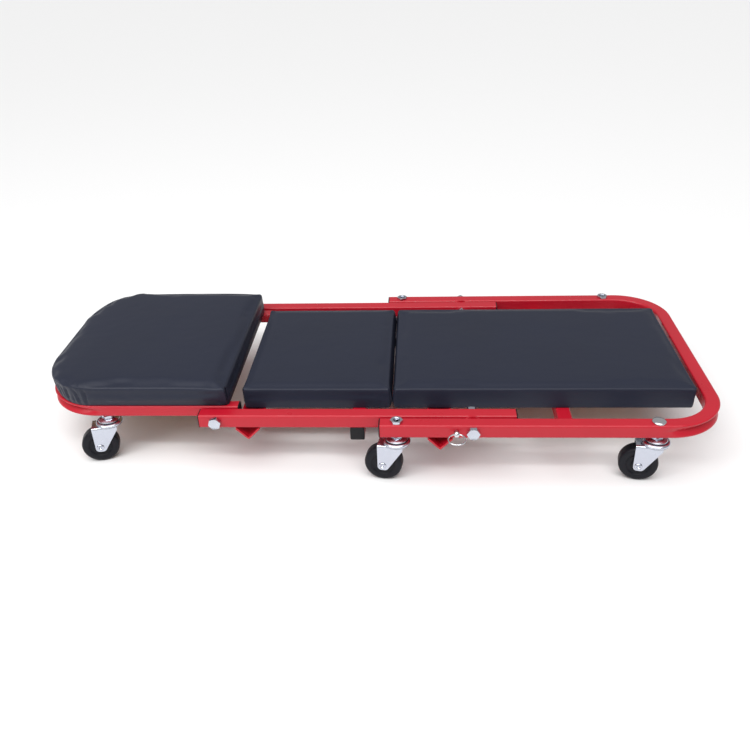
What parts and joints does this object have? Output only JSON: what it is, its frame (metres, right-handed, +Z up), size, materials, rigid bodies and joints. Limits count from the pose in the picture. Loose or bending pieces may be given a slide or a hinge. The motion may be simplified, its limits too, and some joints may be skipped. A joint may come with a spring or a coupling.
{
  "type": "mechanics creeper",
  "caption": "Low folding mechanics creeper with a red square-tube frame, black padded vinyl sections and swivel casters, converting into a rolling seat.",
  "frame": {"origin": "on the floor under the centre of the object's bounding box, as the creeper stands flat on its casters", "axes": "+X along the length towards the foot end, away from the head pad; +Y across, towards the side away from the pull ring; +Z up"},
  "size_m": [0.9114, 0.423, 0.12],
  "materials": {
    "red_powder_coat": "gloss powder coat",
    "black_vinyl": "fine-grained satin vinyl",
    "plywood": "raw plywood",
    "bright_zinc": "bright zinc plate",
    "bright_chrome": "polished",
    "black_plastic": "moulded, satin",
    "black_wheel": "hard moulded wheel"
  },
  "bodies": {
    "base": {"base_frame": "red_powder_coat", "base_end_cap_near": "black_plastic", "base_end_cap_far": "black_plastic", "body_board": "plywood", "body_cushion": "black_vinyl", "stem_front_near": "bright_zinc", "stem_nut_front_near": "bright_zinc", "stem_front_far": "bright_zinc", "stem_nut_front_far": "bright_zinc", "stem_rear_near": "bright_zinc", "stem_nut_rear_near": "bright_chrome", "stem_rear_far": "bright_zinc", "stem_nut_rear_far": "bright_zinc", "pivot_bolt_middle_near": "bright_zinc", "pivot_nut_middle_near": "bright_zinc", "pivot_bolt_middle_far": "bright_zinc", "pivot_nut_middle_far": "bright_zinc"},
    "middle": {"middle_frame": "red_powder_coat", "link_end_cap_left_near": "black_plastic", "link_end_cap_left_far": "black_plastic", "link_end_cap_right_near": "black_plastic", "link_end_cap_right_far": "black_plastic", "cross_end_cap_near": "black_plastic", "cross_end_cap_far": "black_plastic", "middle_board": "plywood", "middle_cushion": "black_vinyl", "pivot_bolt_head_near": "bright_zinc", "pivot_nut_head_near": "bright_zinc", "pivot_bolt_head_far": "bright_zinc", "pivot_nut_head_far": "bright_zinc"},
    "head": {"head_frame": "red_powder_coat", "head_end_cap_near": "black_plastic", "head_end_cap_far": "black_plastic", "head_board": "plywood", "head_cushion": "black_vinyl", "stem_head_near": "bright_zinc", "stem_nut_head_near": "bright_zinc", "stem_head_far": "bright_zinc", "stem_nut_head_far": "bright_zinc"},
    "caster_front_near": {"caster_fork_front_near": "bright_zinc", "caster_axle_front_near": "bright_zinc"},
    "wheel_front_near": {"caster_wheel_front_near": "black_wheel"},
    "caster_front_far": {"caster_fork_front_far": "bright_zinc", "caster_axle_front_far": "bright_zinc"},
    "wheel_front_far": {"caster_wheel_front_far": "black_wheel"},
    "caster_rear_near": {"caster_fork_rear_near": "bright_zinc", "caster_axle_rear_near": "bright_zinc"},
    "wheel_rear_near": {"caster_wheel_rear_near": "black_wheel"},
    "caster_rear_far": {"caster_fork_rear_far": "bright_zinc", "caster_axle_rear_far": "bright_zinc"},
    "wheel_rear_far": {"caster_wheel_rear_far": "black_wheel"},
    "caster_head_near": {"caster_fork_head_near": "bright_zinc", "caster_axle_head_near": "bright_zinc"},
    "wheel_head_near": {"caster_wheel_head_near": "black_wheel"},
    "caster_head_far": {"caster_fork_head_far": "bright_zinc", "caster_axle_head_far": "bright_zinc"},
    "wheel_head_far": {"caster_wheel_head_far": "black_wheel"},
    "lock_pin": {"lock_pin": "bright_chrome"},
    "lock_ring": {"lock_ring": "bright_chrome"}
  },
  "joints": [
    {"name": "middle_fold", "type": "hinge", "parent": "base", "child": "middle", "pos_m": [0.1315, 0.01064, 0.078], "axis": [0, 1, 0], "range_deg": [0, 135]},
    {"name": "head_fold", "type": "hinge", "parent": "middle", "child": "head", "pos_m": [-0.2045, 0.01064, 0.078], "axis": [0, 1, 0], "range_deg": [-135, 0]},
    {"name": "swivel_front_near", "type": "hinge", "parent": "base", "child": "caster_front_near", "pos_m": [0.034, -0.17336, 0.025], "axis": [0, 0, 1], "continuous": true},
    {"name": "roll_front_near", "type": "hinge", "parent": "caster_front_near", "child": "wheel_front_near", "pos_m": [0.01667, -0.17092, 0.025], "axis": [0.1392, 0.9903, 0], "continuous": true},
    {"name": "swivel_front_far", "type": "hinge", "parent": "base", "child": "caster_front_far", "pos_m": [0.034, 0.19464, 0.025], "axis": [0, 0, 1], "continuous": true},
    {"name": "roll_front_far", "type": "hinge", "parent": "caster_front_far", "child": "wheel_front_far", "pos_m": [0.0165, 0.19464, 0.025], "axis": [0, 1, 0], "continuous": true},
    {"name": "swivel_rear_near", "type": "hinge", "parent": "base", "child": "caster_rear_near", "pos_m": [0.363, -0.17336, 0.025], "axis": [0, 0, 1], "continuous": true},
    {"name": "roll_rear_near", "type": "hinge", "parent": "caster_rear_near", "child": "wheel_rear_near", "pos_m": [0.34577, -0.17032, 0.025], "axis": [0.1736, 0.9848, 0], "continuous": true},
    {"name": "swivel_rear_far", "type": "hinge", "parent": "base", "child": "caster_rear_far", "pos_m": [0.363, 0.19464, 0.025], "axis": [0, 0, 1], "continuous": true},
    {"name": "roll_rear_far", "type": "hinge", "parent": "caster_rear_far", "child": "wheel_rear_far", "pos_m": [0.3455, 0.19464, 0.025], "axis": [0, 1, 0], "continuous": true},
    {"name": "swivel_head_near", "type": "hinge", "parent": "head", "child": "caster_head_near", "pos_m": [-0.3612, -0.12836, 0.025], "axis": [0, 0, 1], "continuous": true},
    {"name": "roll_head_near", "type": "hinge", "parent": "caster_head_near", "child": "wheel_head_near", "pos_m": [-0.3781, -0.13289, 0.025], "axis": [-0.2588, 0.9659, 0], "continuous": true},
    {"name": "swivel_head_far", "type": "hinge", "parent": "head", "child": "caster_head_far", "pos_m": [-0.3612, 0.14964, 0.025], "axis": [0, 0, 1], "continuous": true},
    {"name": "roll_head_far", "type": "hinge", "parent": "caster_head_far", "child": "wheel_head_far", "pos_m": [-0.3787, 0.14964, 0.025], "axis": [0, 1, 0], "continuous": true},
    {"name": "pin_pull", "type": "slide", "parent": "base", "child": "lock_pin", "axis": [0, -1, 0], "range_m": [0, 0.018]},
    {"name": "ring_swing", "type": "hinge", "parent": "lock_pin", "child": "lock_ring", "pos_m": [0.1103, -0.18746, 0.078], "axis": [1, 0, 0], "range_deg": [-98, 82]}
  ]
}
